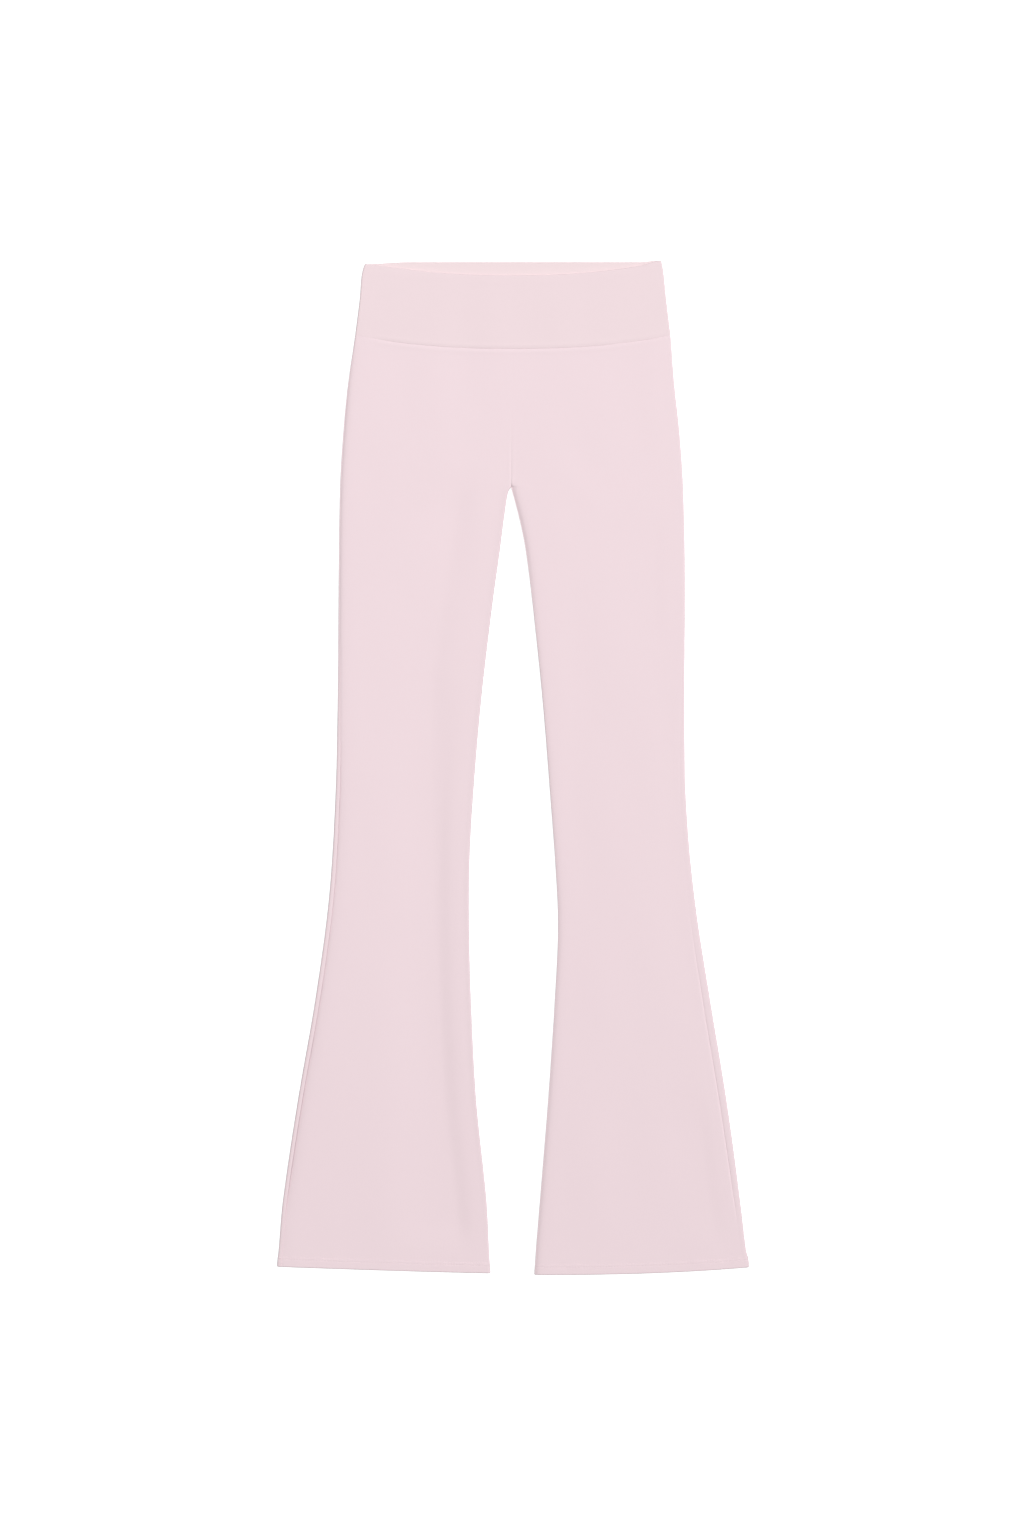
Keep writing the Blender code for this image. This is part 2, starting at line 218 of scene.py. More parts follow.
# the underside's, which go inwards from the surface that it lies on
backFolds = [
    (-96, 150, -118, 250, 14, 18, 0.35),
    (-110, 300, -104, 520, 18, 24, 0.4),
    (-134, 640, -150, 840, 20, 15, 0.35),
    (-84, 900, -78, 1040, 15, 15, 0.4),
    (88, 160, 112, 262, 12, 17, 0.3),
    (120, 330, 112, 600, 24, 18, 0.45),
    (98, 660, 128, 800, 14, 14, 0.3),
    (168, 880, 186, 1030, 17, 22, 0.4),
    (-30, 118, -62, 150, 9, 12, 0.25),
    (34, 122, 58, 158, 12, 9, 0.3),
]


def foldSum(folds, x, drop):
    total = np.zeros(np.broadcast(x, drop).shape)
    for startX, startDrop, endX, endDrop, rightWidth, leftWidth, height in folds:
        alongX = endX - startX
        alongDrop = endDrop - startDrop
        length = math.hypot(alongX, alongDrop)
        along = ((x - startX) * alongX + (drop - startDrop) * alongDrop) / length
        beside = ((x - startX) * alongDrop - (drop - startDrop) * alongX) / length
        end = (rightWidth + leftWidth) / 2
        ends = ease(along, -end, end) * (1.0 - ease(along, length - end, length + end))
        width = np.where(beside < 0, rightWidth, leftWidth)
        total += height * ends * np.exp(-((beside / width) ** 2))
    return total


def edgeDistances(x, drop):
    # from the outer and the inner edge of each leg. A centre seam counts as far as the cloth turns in at it
    toOuter = {leg: ways[leg] * (outerX(leg, drop) - x) for leg in ways}
    openShare = 1.0 - creaseTurn(drop) / quarterTurn
    toInner = {leg: ways[leg] * (x - innerX(leg, drop)) + openShare * lie["fade"][1] for leg in ways}
    return toOuter, toInner


def nearestEdge(x, drop):
    toOuter, toInner = edgeDistances(x, drop)
    inner = np.where(x > cut["centre"], toInner["left"], toInner["right"])
    return np.minimum(np.minimum(toOuter["left"], toOuter["right"]), inner)


def singleShare(drop):
    below = ease(drop, waist["frontSeam"], waist["frontSeam"] + lie["fromWaist"])
    return below * ease(cut["length"] - drop, *lie["aboveHem"])


def eachEdge(x, drop):
    # name of each long edge, the distance from it, and which points belong to its leg
    toOuter, toInner = edgeDistances(x, drop)
    onLeft = x > cut["centre"]
    for which, mask in (("right", ~onLeft), ("left", onLeft)):
        yield "outer" + which.capitalize(), toOuter[which], mask
        yield "inner" + which.capitalize(), toInner[which], mask


def shoulderFall(x, drop):
    fall = 0.0
    for edge, distance, mask in eachEdge(x, drop):
        if edge not in shoulder["depth"]:
            continue
        depth = smoothRead(shoulder["drop"], shoulder["depth"][edge], drop)
        inwards = np.maximum(distance - shoulder["start"], 0.0)
        fall = fall + mask * depth * np.exp(-inwards / shoulder["reach"])
    return fall


def squared(share):
    # turns the round rolled edge into a squarer one. The share is 0 at its outermost line and 1 on its top
    power = shoulder["square"]
    inward = np.sqrt(np.clip(1.0 - share**2, 0.0, 1.0))
    return np.clip(1.0 - inward**power, 0.0, 1.0) ** (1.0 / power)


seeds = {"drift": 11, "waistGathers": 21, "sideGathers": 31, "centreGathers": 41, "hemWaves": 51,
         "bandGathers": 61, "topWaves": 71, "stitches": 81}


def waves(x, drop, seed, height, shortest, longest, stretch):
    # uneven and never repeating in sight: plane waves of random length and phase, stretched along the drop
    random = np.random.default_rng(seed)
    count = 9
    mostTurn = 1.2
    total = np.zeros(np.broadcast(x, drop).shape)
    for _ in range(count):
        wave = random.uniform(shortest, longest)
        turn = random.uniform(-mostTurn, mostTurn)
        phase = random.uniform(0.0, 2 * math.pi)
        total += np.sin(2 * math.pi * (x * math.cos(turn) + drop * math.sin(turn) / stretch) / wave + phase)
    return total * height / math.sqrt(count)


def frontLevel(x, drop):
    single = singleShare(drop)
    folds = foldSum(frontFolds, x, drop) * (lie["foldsInBand"] + (1.0 - lie["foldsInBand"]) * single)
    wall = cut["doubleWall"] + (cut["wall"] - cut["doubleWall"]) * single
    reach = ease(nearestEdge(x, drop), *lie["fade"])
    drift = waves(x, drop, seeds["drift"], *lie["drift"])
    level = 2 * cut["roll"] - lie["sink"] + reach * (folds + drift)
    level = np.maximum(level, 2 * wall + cut["leastPlyGap"])
    return level - shoulderFall(x, drop)


grid = {
    # distances of the lines of points from a seam, a hem, the crotch and the top of the waistband
    "seamEdge": (0, 0.2, 0.45, 0.75, 1.1, 1.5, 2.0, 2.6, 3.3, 4.1, 5.0, 6.0, 7.2, 8.6, 10.2, 12.2, 14.6,
                 17.6, 21),
    "hemEdge": (0, 0.3, 0.7, 1.2, 1.8, 2.5, 3.2, 3.9, 4.6, 5.2, 5.8, 6.3, 6.7, 7.1, 7.5, 7.9, 8.3, 8.7,
                9.1, 9.5, 9.9, 10.3, 10.7, 11.1, 11.6, 12.2, 13.0, 14.2, 16.0, 18.4),
    "crotch": (-15, -12.5, -10.5, -8.5, -7, -5.5, -4.2, -3.1, -2.2, -1.4, -0.7, 0, 0.5, 1.1, 1.8, 2.6,
               3.5, 4.6, 6, 7.8, 10, 12.8),
    "topEdge": (0, 0.3, 0.7, 1.2, 1.8, 2.6, 3.6, 4.8, 6.4, 8.6, 11.4),
    "columns": {"leg": {1: 62, -1: 36}, "band": {1: 110, -1: 70}},
    "rowStep": {1: 3.4, -1: 6.0},
    "gap": 0.008,  # sewn edges all but touch
    "foldFaces": 6,  # round a folded edge
    "rounds": 6,
    "sharpFrom": 60.0,  # degrees
}


def between(start, end, step):
    count = max(int(round((end - start) / step)), 1)
    return [start + (end - start) * k / count for k in range(1, count)]


def roundEdge(run, turn):
    # across from the edge, and off the face that the cloth comes from
    roll = cut["roll"]
    bend = turn - run / roll
    flat = roll * np.sin(turn) - roll * bend
    rolled = roll * (np.sin(turn) - np.sin(bend))
    beyond = roll * np.sin(turn) + roll * (bend - math.pi)
    across = np.where(bend <= 0, flat, np.where(bend <= math.pi, rolled, beyond))
    off = np.where(bend <= 0, 0.0, np.where(bend <= math.pi, roll * (1 - np.cos(bend)), 2 * roll))
    return across, off


def outerEdge(leg):
    def at(drop):
        return outerX(leg, drop), quarterTurn + 0 * drop, smoothRead(sideSeam["drop"], sideSeam[leg], drop)
    return at


def innerEdge(leg):
    def at(drop):
        return innerX(leg, drop), creaseTurn(drop), 0 * drop
    return at


class Panel:
    # the outside of one piece of cloth: rows from the waist down, and columns from one seam to the other
    def __init__(self, name, side, first, second, dropAt, rows, middle):
        self.name = name
        self.side = side
        near = np.array(grid["seamEdge"])
        n = len(near)
        share = np.arange(1, middle) / middle
        rows = np.asarray(rows, float)[:, None]
        x = np.zeros((len(rows), 2 * n + len(share)))
        for _ in range(grid["rounds"]):  # x depends on the drop and, where a row curves, the drop on x
            drop = dropAt(x, rows)
            firstX, firstTurn, firstLap = first(drop)
            secondX, secondTurn, secondLap = second(drop)
            way = np.sign(secondX - firstX)
            bends = firstTurn + secondTurn - np.sin(firstTurn) - np.sin(secondTurn)
            total = np.abs(secondX - firstX) + cut["roll"] * bends
            start = side * firstLap + grid["gap"] / 2
            end = side * secondLap + grid["gap"] / 2
            low = start + near[-1]
            high = total - end - near[-1]
            run = np.empty_like(x)
            run[:, :n] = start[:, :n] + near
            run[:, n:-n] = low[:, n:-n] + (high - low)[:, n:-n] * share
            run[:, -n:] = (total - end)[:, -n:] - near[::-1]
            fromFirst, firstOff = roundEdge(run, firstTurn)
            fromSecond, secondOff = roundEdge(total - run, secondTurn)
            nearFirst = run < total / 2
            x = np.where(nearFirst, firstX + way * fromFirst, secondX - way * fromSecond)
            off = np.where(nearFirst, firstOff, secondOff)
        self.cutX = x
        self.cutDrop = dropAt(x, rows)
        self.toFirst = run - start
        self.toSecond = total - end - run
        self.width = float((self.toFirst + self.toSecond).max())
        roll = cut["roll"]
        height = 2 * roll - off if side > 0 else off
        share = np.clip(height / roll - 1.0, 0.0, 1.0)
        rise = squared(share) * (frontLevel(x, self.cutDrop) - roll)
        z = np.where(height > roll, roll + rise, height)
        self.points = np.stack([x, cut["length"] / 2 - self.cutDrop, z], axis=-1)

    def normals(self):
        down = np.gradient(self.points, axis=0)
        over = np.gradient(self.points, axis=1)
        normal = np.cross(over, down)
        normal /= np.linalg.norm(normal, axis=-1, keepdims=True)
        middle = normal[normal.shape[0] // 2, normal.shape[1] // 2]
        return normal if middle[2] * self.side > 0 else -normal

    def push(self, amount):
        # along the cloth's own normals, outwards where amount is positive, and never below the floor
        self.points = self.points + self.normals() * amount[..., None]
        self.points[..., 2] = np.maximum(self.points[..., 2], 0.0)

    def length(self):
        return float((self.points[0, :, 1] - self.points[-1, :, 1]).max())

    def area(self):
        p = self.points
        crossed = np.cross(p[1:, 1:] - p[:-1, :-1], p[1:, :-1] - p[:-1, 1:])
        return float(np.linalg.norm(crossed, axis=-1).sum() / 2)


def seamDent(distance, depth, width, lip, lipAt=3.6, lipWidth=2.0):
    # a sharp dip where two pieces are pulled together, and the soft swell of the turnings beside it
    return lip * np.exp(-(((distance - lipAt) / lipWidth) ** 2)) - depth * np.exp(-distance / width)


def stripFaces(ring):
    # faces across a ring of points whose two halves face each other
    faces = []
    for k in range((len(ring) - 1) // 2):
        face = [ring[k], ring[k + 1], ring[-2 - k], ring[-1 - k]]
        faces.append([p for i, p in enumerate(face) if p not in face[:i]])
    return [face for face in faces if len(face) > 2]


def clothMesh(panel, wall, foldTop, foldBottom):
    # outside, round the folded end, back on the inside, and closed at both seams
    outer = panel.points
    normals = panel.normals()
    inner = outer - normals * wall[..., None]
    inner[..., 2] = np.maximum(inner[..., 2], cut["leastLift"])

    def turnRound(row, neighbour):
        along = outer[row] - outer[neighbour]
        along /= np.linalg.norm(along, axis=-1, keepdims=True)
        half = wall[row][:, None] / 2
        middle = outer[row] - normals[row] * half
        angles = [math.pi * k / grid["foldFaces"] for k in range(1, grid["foldFaces"])]
        return [middle + half * (normals[row] * math.cos(a) + along * math.sin(a)) for a in angles]

    rows = list(outer)
    if foldBottom:
        rows += turnRound(-1, -2)
    rows += list(inner[::-1])
    bottomCount = len(rows)
    if foldTop:
        rows += turnRound(0, 1)[::-1]
    loop = np.array(rows)
    loop[..., 2] = np.maximum(loop[..., 2], 0.0)
    count, across = loop.shape[:2]
    index = np.arange(count * across).reshape(count, across)
    onward = np.roll(index, -1, axis=0)
    quads = np.stack([index[:, :-1], index[:, 1:], onward[:, 1:], onward[:, :-1]], axis=-1).reshape(-1, 4)
    faces = quads.tolist()
    for column in (0, across - 1):
        faces += stripFaces(index[:bottomCount, column].tolist())
        if foldTop:
            faces += stripFaces(index[bottomCount - 1:, column].tolist() + [int(index[0, column])])
    mesh = bpy.data.meshes.new(panel.name)
    mesh.from_pydata((loop.reshape(-1, 3) * mm).tolist(), [], faces)
    cloth = bmesh.new()
    cloth.from_mesh(mesh)
    bmesh.ops.recalc_face_normals(cloth, faces=cloth.faces)
    cloth.to_mesh(mesh)
    cloth.free()
    mesh.shade_smooth()
    mesh.set_sharp_from_angle(angle=math.radians(grid["sharpFrom"]))
    return mesh


gathers = {"shortest": 5.0, "longest": 16.0, "reach": 3.0, "clear": 1.2}

waistPull = {"least": 0.6, "middleHalf": 110.0, "rightLoss": 0.85, "rightEnd": (132.0, 158.0)}

legShape = {
    "warp": 140.0,  # rows follow the waist seam and the hem over this distance
    "waistDent": (0.6, 0.9, 0.2),  # depth, width, lip
    "sideDrop": (400, 500, 577, 684, 740, 790, 898, 994, 1030),
    "sideDent": {  # depth of the dip along the side seam, at those drops
        "right": (0.1, 0.2, 0.34, 0.34, 0.34, 0.34, 0.32, 0.28, 0.05),
        "left": (0.08, 0.08, 0.06, 0.06, 0.3, 0.5, 0.6, 0.5, 0.05),
    },
    "sideDentWidth": 0.8,
    "sideFall": {"right": (0, 0.4, 1.0, 1.0, 1.1, 1.2, 1.5, 1.3, 0.4)},  # how far the front falls to it
    "sideReach": 4.8,
    "centreFrom": 140.0,
    "centreDent": (0.015, 0.32, 0.7),  # depth at the top, depth added at the crotch, width
    "centreLip": (0.1, 2.6, 1.5),  # height, distance from the seam, width
    "hemSwell": 0.22,
    "hemStep": 1.2,
    "hemWaves": (0.05, 7, 22, 1),  # height, shortest, longest, stretch
    "hemWavesAt": (9.5, 4.0),  # distance from the hem, width
    "stitchRows": (8.2, 10.8),
    "stitchDent": {1: 0.16, -1: 0.3},
    "stitchSpread": 0.55,
    "pucker": 0.04,
}


def puckers(along, distance, height, seed):
    # little gathers that the thread leaves beside a seam
    rise = waves(along, 0 * along, seed, height, gathers["shortest"], gathers["longest"], 1)
    return rise * np.exp(-distance / gathers["reach"]) * ease(distance, 0, gathers["clear"])


def pulledIn(x):
    # the waist seam is pulled in most at the middle and hardly at all at the right side seam
    middle = np.exp(-((x / waistPull["middleHalf"]) ** 2))
    strength = waistPull["least"] + (1.0 - waistPull["least"]) * middle
    return strength * (1.0 - waistPull["rightLoss"] * ease(-x, *waistPull["rightEnd"]))


def legPanel(side, which):
    seamDrop = frontSeamDrop if side > 0 else backSeamDrop
    halfWall = cut["doubleWall"] / 2
    top = waist["frontSeam"] + grid["gap"] / 2
    topRows = [top + d for d in grid["seamEdge"]]
    crotchRows = [crotchDrop + d for d in grid["crotch"]]
    hemRows = [cut["length"] - halfWall - d for d in reversed(grid["hemEdge"])]
    step = grid["rowStep"][side]
    rows = topRows + between(topRows[-1], crotchRows[0], step) + crotchRows
    rows += between(crotchRows[-1], hemRows[0], step) + hemRows

    def dropAt(x, station):
        nearSeam = 1.0 - ease(station, waist["frontSeam"], waist["frontSeam"] + legShape["warp"])
        nearHem = 1.0 - ease(cut["length"] - station, grid["hemEdge"][-1], legShape["warp"])
        toSeam = seamDrop(x) - waist["frontSeam"]
        toHem = hemDrop(which, x) - cut["length"]
        return station + toSeam * nearSeam + toHem * nearHem

    name = f"{'front' if side > 0 else 'back'}LegPanel_{which}"
    middle = grid["columns"]["leg"][side]
    panel = Panel(name, side, innerEdge(which), outerEdge(which), dropAt, rows, middle)
    x, drop = panel.cutX, panel.cutDrop
    toWaist = drop - seamDrop(x)
    toHem = hemDrop(which, x) - drop
    panel.push(shapeLeg(panel, side, which, toWaist, toHem))
    halfStep = legShape["hemStep"] / 2
    doubled = 1.0 - ease(toHem, hem["depth"] - halfStep, hem["depth"] + halfStep)
    inFold = ease(nearestEdge(x, drop), cut["roll"], 2 * cut["roll"])
    doubled = doubled * np.where(toHem < cut["foldReach"], 1.0, inFold)
    return panel, cut["wall"] + (cut["doubleWall"] - cut["wall"]) * doubled


def shapeLeg(panel, side, which, toWaist, toHem):
    x, drop = panel.cutX, panel.cutDrop
    depth, width, lip = legShape["waistDent"]
    strength = pulledIn(x)
    shape = seamDent(toWaist, depth * strength, width, lip * strength)
    shape += puckers(x, toWaist, legShape["pucker"], seeds["waistGathers"] + side)
    depth = smoothRead(legShape["sideDrop"], legShape["sideDent"][which], drop)
    shape += seamDent(panel.toSecond, depth, legShape["sideDentWidth"], 0.0)
    shape += puckers(drop, panel.toSecond, legShape["pucker"], seeds["sideGathers"] + side + ways[which])
    # the centre seam hardly shows at the top and draws in towards the crotch
    drawn = ease(drop, legShape["centreFrom"], crotchDrop) ** 2 * (1.0 - creaseTurn(drop) / quarterTurn)
    least, added, width = legShape["centreDent"]
    lip, lipAt, lipWidth = legShape["centreLip"]
    depth = least * (drop < crotchDrop) + added * drawn
    shape += seamDent(panel.toFirst, depth, width, lip * drawn, lipAt, lipWidth)
    height = legShape["pucker"] * drawn
    shape += puckers(drop, panel.toFirst, height, seeds["centreGathers"] + side + ways[which])
    if side > 0 and which in legShape["sideFall"]:
        fall = smoothRead(legShape["sideDrop"], legShape["sideFall"][which], drop)
        shape -= fall * np.exp(-panel.toSecond / legShape["sideReach"])
    if side < 0:
        shape -= foldSum(backFolds, x, drop) * ease(nearestEdge(x, drop), *lie["backFade"])
    swellFrom = hem["depth"] - legShape["hemStep"] / 3
    shape += legShape["hemSwell"] * (1.0 - ease(toHem, swellFrom, hem["depth"] + legShape["hemStep"]))
    for row in legShape["stitchRows"]:
        beside = (toHem - row) / legShape["stitchSpread"]
        shape -= legShape["stitchDent"][side] * np.exp(-(beside ** 2))
    wavesAt, wavesWidth = legShape["hemWavesAt"]
    hemWaves = waves(x, toHem, seeds["hemWaves"] + side + ways[which], *legShape["hemWaves"])
    return shape + hemWaves * np.exp(-((toHem - wavesAt) / wavesWidth) ** 2)


bandShape = {
    "seamDent": (0.5, 0.9, 0.16),  # depth, width, lip
    "sideDent": (0.06, 0.8),  # depth, width
    "topRoll": (0.35, 3.0),  # the folded top edge is pressed flatter: depth, reach
    "topWaves": (0.05, 30, 90, 1),  # height, shortest, longest, stretch
    "pucker": 0.04,
}


def waistbandPanel(side):
    topDrop = frontTopDrop if side > 0 else backTopDrop
    seamDrop = frontSeamDrop if side > 0 else backSeamDrop
    height = waist["bandRows"]
    halfWall = cut["doubleWall"] / 2
    topRows = [halfWall + d for d in grid["topEdge"]]
    seamRows = [height - grid["gap"] / 2 - d for d in reversed(grid["seamEdge"])]
    rows = topRows + between(topRows[-1], seamRows[0], grid["rowStep"][side]) + seamRows

    def dropAt(x, station):
        top = topDrop(x)
        return top + station + (seamDrop(x) - top - height) * ease(station, topRows[-1], seamRows[0])

    name = "waistbandFront" if side > 0 else "waistbandBack"
    middle = grid["columns"]["band"][side]
    panel = Panel(name, side, outerEdge("right"), outerEdge("left"), dropAt, rows, middle)
    x, drop = panel.cutX, panel.cutDrop
    toSeam = seamDrop(x) - drop
    toTop = drop - topDrop(x)
    depth, width, lip = bandShape["seamDent"]
    strength = pulledIn(x)
    shape = seamDent(toSeam, depth * strength, width, lip * strength)
    shape += puckers(x, toSeam, bandShape["pucker"], seeds["bandGathers"] + side)
    for toSide in (panel.toFirst, panel.toSecond):
        shape += seamDent(toSide, *bandShape["sideDent"], 0.0)
    if side > 0:
        pressed, reach = bandShape["topRoll"]
        shape -= pressed * np.exp(-toTop / reach)
        shape += waves(x, toTop, seeds["topWaves"], *bandShape["topWaves"])
    panel.push(shape)
    inFold = ease(nearestEdge(x, drop), cut["roll"], 2 * cut["roll"])
    doubled = np.where(toTop < cut["foldReach"], 1.0, inFold)
    return panel, cut["wall"] + (cut["doubleWall"] - cut["wall"]) * doubled


class Wire:
    # an output socket. Arithmetic on it adds Math nodes to its material
    def __init__(self, tree, socket):
        self.tree = tree
        self.socket = socket

    def node(self, kind, settings=None, inputs=None, output=0):
        return addNode(self.tree, kind, settings, inputs, output)

    def math(self, operation, first, second=0.0):
        return self.node("ShaderNodeMath", {"operation": operation}, {0: first, 1: second})

    def __add__(self, other):
        return self.math("ADD", self, other)

    def __radd__(self, other):
        return self.math("ADD", other, self)

    def __sub__(self, other):
        return self.math("SUBTRACT", self, other)

    def __rsub__(self, other):
        return self.math("SUBTRACT", other, self)

    def __mul__(self, other):
        return self.math("MULTIPLY", self, other)

    def __rmul__(self, other):
        return self.math("MULTIPLY", other, self)

    def __truediv__(self, other):
        return self.math("DIVIDE", self, other)

    def fraction(self):
        return self.math("FRACT", self)

    def size(self):
        return self.math("ABSOLUTE", self)

    def sine(self):
        return self.math("SINE", self)


def addNode(tree, kind, settings=None, inputs=None, output=0):
    node = tree.nodes.new(kind)
    for key, value in (settings or {}).items():
        setattr(node, key, value)
    for key, value in (inputs or {}).items():
        if isinstance(value, Wire):
            tree.links.new(value.socket, node.inputs[key])
        else:
            node.inputs[key].default_value = value
    return Wire(tree, node.outputs[output])


def mixColours(tree, share, first, second):
    mixed = tree.nodes.new("ShaderNodeMix")
    mixed.data_type = "RGBA"
    sockets = {"Factor": share, "A": first, "B": second}
    for socket in mixed.inputs:
        value = sockets.get(socket.name)
        if value is None or not socket.enabled:
            continue
        if isinstance(value, Wire):
            tree.links.new(value.socket, socket)
        else:
            socket.default_value = value
    return Wire(tree, next(s for s in mixed.outputs if s.enabled))


def newMaterial(name):
    material = bpy.data.materials.new(name)
    material.use_nodes = True
    return material, material.node_tree, material.node_tree.nodes["Principled BSDF"]


def clothPlace(tree):
    # the place on the cloth, and its x and y in millimetres
    place = addNode(tree, "ShaderNodeTexCoord", output=3)
    x = addNode(tree, "ShaderNodeSeparateXYZ", inputs={0: place}, output=0) * (1 / mm)
    y = addNode(tree, "ShaderNodeSeparateXYZ", inputs={0: place}, output=1) * (1 / mm)
    return place, x, y


jersey = {
    "leg": (0.829, 0.683, 0.715, 1.0),
    "band": (0.816, 0.676, 0.700, 1.0),
    "inside": (0.828, 0.692, 0.705, 1.0),
    "shadeTint": (0.965, 0.945, 0.955),  # between the yarns
    "wale": 0.78,  # width of one column of stitches
    "course": 0.62,  # height of one row
    "slant": 0.8,  # of a stitch's yarn, in rows
    "turnShade": 0.55,  # how much a yarn darkens where it turns
    "cloud": (38.0, 0.35, 0.6),  # scale, level at which it sets in, strength
    "mottle": 0.024,  # how much darker the clouds are
    "fuzz": (900.0, 0.5),  # scale, share of the bump
    "bump": (0.5, 0.05),  # strength, height
    "roughness": (0.86, 0.08),  # of the yarn, and added between the yarns
    "specular": 0.25,
    "sheen": 0.14,
    "sheenRoughness": 0.45,
    "sheenTint": (1.0, 0.93, 0.95, 1.0),
}


def jerseyMaterial(name, colour, sideways=False):
    material, tree, shader = newMaterial(name)
    place, x, y = clothPlace(tree)
    if sideways:
        x, y = y, x
    # each stitch is a V of two yarns. "Across" runs over one wale, 0 in its middle and 1 at its borders
    across = ((x / jersey["wale"]).fraction() - 0.5).size() * 2.0
    yarn = (across * math.pi).sine()
    turn = ((y / jersey["course"] - across * jersey["slant"]) * math.pi).sine().size()
    knit = yarn * (1.0 - jersey["turnShade"] + jersey["turnShade"] * turn)
    cloudScale, cloudFrom, cloudStrength = jersey["cloud"]
    fuzzScale, fuzzShare = jersey["fuzz"]
    cloud = place.node("ShaderNodeTexNoise", None, {"Vector": place, "Scale": cloudScale, "Detail": 3.0})
    fuzz = place.node("ShaderNodeTexNoise", None, {"Vector": place, "Scale": fuzzScale, "Detail": 2.0})
    deep = tuple(c * t for c, t in zip(colour, jersey["shadeTint"])) + (1.0,)
    base = mixColours(tree, knit, deep, colour)
    toned = tuple(c * (1.0 - jersey["mottle"]) for c in colour[:3]) + (1.0,)
    base = mixColours(tree, (cloud - cloudFrom) * cloudStrength, base, toned)
    tree.links.new(base.socket, shader.inputs["Base Color"])
    yarnRough, addedRough = jersey["roughness"]
    rough = yarnRough + addedRough * (1.0 - knit)
    tree.links.new(rough.socket, shader.inputs["Roughness"])
    strength, height = jersey["bump"]
    relief = {"Strength": strength, "Distance": height * mm, "Height": knit + fuzz * fuzzShare}
    tree.links.new(place.node("ShaderNodeBump", None, relief).socket, shader.inputs["Normal"])
    shader.inputs["Specular IOR Level"].default_value = jersey["specular"]
    shader.inputs["Sheen Weight"].default_value = jersey["sheen"]
    shader.inputs["Sheen Roughness"].default_value = jersey["sheenRoughness"]
    shader.inputs["Sheen Tint"].default_value = jersey["sheenTint"]
    return material


thread = {
    "colour": (0.86, 0.72, 0.75, 1.0),
    # painted shade: the thread's colour is made darker in the grooves between its plies
    "plyGapShade": 0.93,  # between the plies, as a share of the colour
    "twist": (1.6, 0.5),  # slant and width of a ply
    "bump": (0.4, 0.04),  # strength, height
    "roughness": 0.55,
    "length": 2.5,
    "pitch": 3.0,
    "start": 0.6,  # of the first stitch from the row's end, in pitches
    "uneven": 0.12,
    "radius": 0.2,
    "sides": 6,
    "rings": ((0.0, 0.25), (0.12, 0.8), (0.32, 1.0), (0.68, 1.0), (0.88, 0.8), (1.0, 0.25)),  # place, girth
    "lift": 0.6,  # of its middle above the cloth, in radii
    "dive": 1.6,  # of its ends, in radii
    "sunk": 0.04,
}


def threadMaterial():
    material, tree, shader = newMaterial("sewingThread")
    place, x, y = clothPlace(tree)
    slant, ply = thread["twist"]
    twist = (((x + y * slant) * (2 * math.pi / ply)).sine() + 1.0) * 0.5  # plies wound round each other
    # painted shade: the colour darkens in the grooves between the plies, as a share of the thread's colour
    plyGapShade = tuple(c * thread["plyGapShade"] for c in thread["colour"][:3]) + (1.0,)
    tree.links.new(mixColours(tree, twist, plyGapShade, thread["colour"]).socket, shader.inputs["Base Color"])
    strength, height = thread["bump"]
    relief = {"Strength": strength, "Distance": height * mm, "Height": twist}
    tree.links.new(place.node("ShaderNodeBump", None, relief).socket, shader.inputs["Normal"])
    shader.inputs["Roughness"].default_value = thread["roughness"]
    return material


def stitchRow(panel, toHem, rowAt):
    # places along a row of stitching, read from the panel's own surface: points, and outward normals
    normals = panel.normals()
    line = []
    lean = []
    for column in range(panel.points.shape[1]):
        fromHem = toHem[:, column]
        order = np.argsort(fromHem)
        line.append([np.interp(rowAt, fromHem[order], panel.points[order, column, k]) for k in range(3)])
        lean.append([np.interp(rowAt, fromHem[order], normals[order, column, k]) for k in range(3)])
    line = np.array(line)
    lean = np.array(lean)
    steps = np.linalg.norm(np.diff(line, axis=0), axis=1)
    return line, lean, np.concatenate([[0.0], np.cumsum(steps)])


def stitches(name, rows):
    # one mesh of all the stitches in these rows, each a short capsule that dives in at both ends
    random = np.random.default_rng(seeds["stitches"])
    rings = thread["rings"]
    sides = thread["sides"]
    radius = thread["radius"]
    angles = [2 * math.pi * k / sides for k in range(sides)]
    vertices = []
    faces = []
    for line, lean, along in rows:
        for k in range(int((along[-1] - thread["pitch"]) / thread["pitch"])):
            shift = random.uniform(-thread["uneven"], thread["uneven"])
            start = thread["pitch"] * (k + thread["start"]) + shift
            first = len(vertices)
            for share, girth in rings:
                at = start + thread["length"] * share
                centre = np.array([np.interp(at, along, line[:, i]) for i in range(3)])
                ahead = np.array([np.interp(at + 0.2, along, line[:, i]) for i in range(3)]) - centre
                up = np.array([np.interp(at, along, lean[:, i]) for i in range(3)])
                ahead /= np.linalg.norm(ahead)
                up /= np.linalg.norm(up)
                over = np.cross(up, ahead)
                dive = radius * thread["dive"] * (2 * share - 1) ** 4
                centre = centre + up * (radius * thread["lift"] - thread["sunk"] - dive)
                for angle in angles:
                    point = centre + radius * girth * (over * math.cos(angle) + up * math.sin(angle))
                    vertices.append(point * mm)
            for ring in range(len(rings) - 1):
                for s in range(sides):
                    a = first + ring * sides + s
                    b = first + ring * sides + (s + 1) % sides
                    faces.append([a, b, b + sides, a + sides])
            faces.append([first + s for s in reversed(range(sides))])
            last = first + (len(rings) - 1) * sides
            faces.append([last + s for s in range(sides)])
    points = np.array(vertices)
    points[:, 2] = np.maximum(points[:, 2], 0.0)
    mesh = bpy.data.meshes.new(name)
    mesh.from_pydata(points.tolist(), [], faces)
    mesh.shade_smooth()
    return mesh


